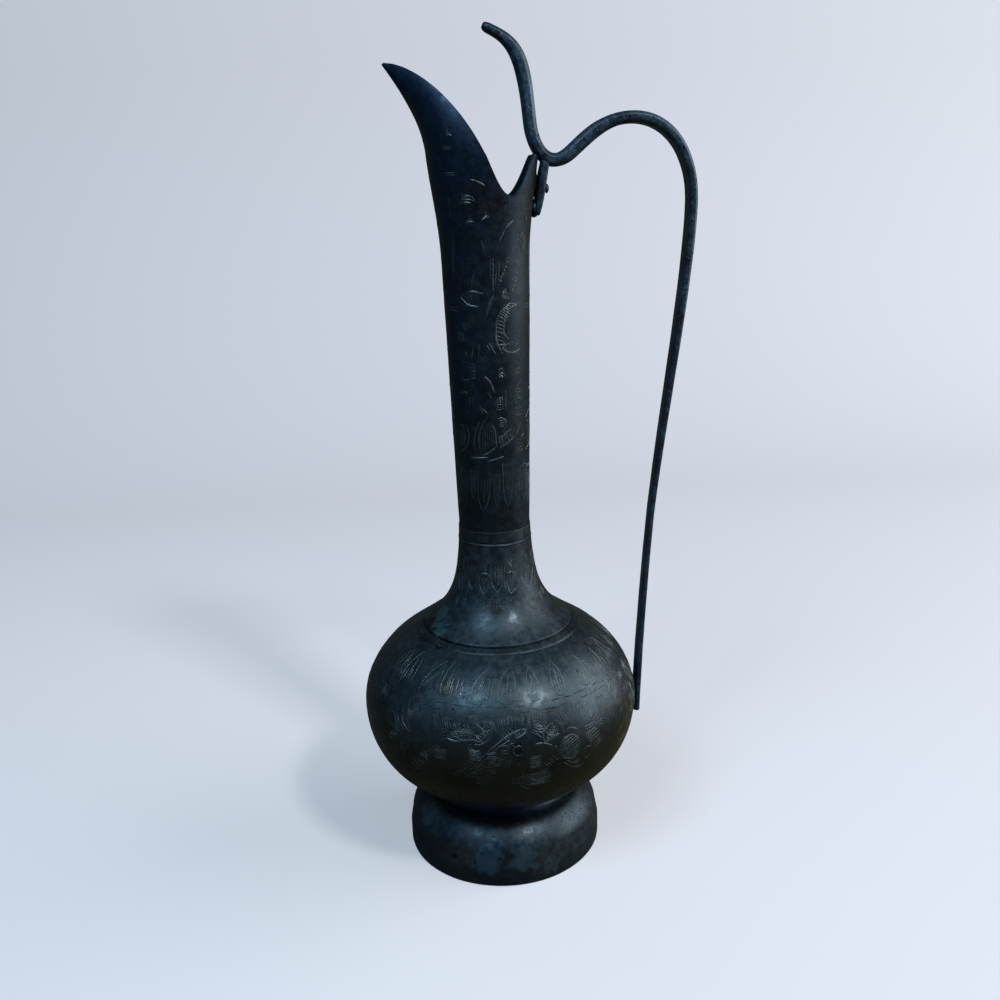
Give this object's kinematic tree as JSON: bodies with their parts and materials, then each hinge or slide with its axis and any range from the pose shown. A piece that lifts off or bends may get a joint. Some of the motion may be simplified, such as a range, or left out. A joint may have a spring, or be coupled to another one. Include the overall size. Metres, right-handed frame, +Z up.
{
  "type": "ewer",
  "caption": "Slender-necked engraved brass ewer with a beak spout, a round belly on a hollow ring foot, and a strap handle with a thumb spur.",
  "frame": {"origin": "on the ground, in the middle of the ewer's length and breadth; the axis of the neck, belly and foot stands 13.2 mm from it towards the spout", "axes": "+Z up, +X from the spout towards the handle, +Y across"},
  "size_m": [0.161, 0.1346, 0.3882],
  "materials": {
    "dark_brass": "engraved brass with a satin, near-black green-grey patina",
    "foot_brass": "plain cast brass with a blue-grey patina and dark pits",
    "strap_brass": "forged strap with bevelled edges, punched dots and a matt dark patina",
    "solder": "smooth hard solder, dulled and slightly lighter than the brass"
  },
  "bodies": {
    "root": {"foot": "foot_brass", "foot_solder": "solder", "lower_bowl": "dark_brass", "upper_bowl": "dark_brass", "neck_collar": "dark_brass", "collar_solder": "solder", "neck_spout": "dark_brass", "handle": "strap_brass", "handle_bracket": "strap_brass", "handle_rivet": "strap_brass", "bracket_solder": "solder", "tail_solder": "solder"}
  },
  "joints": []
}
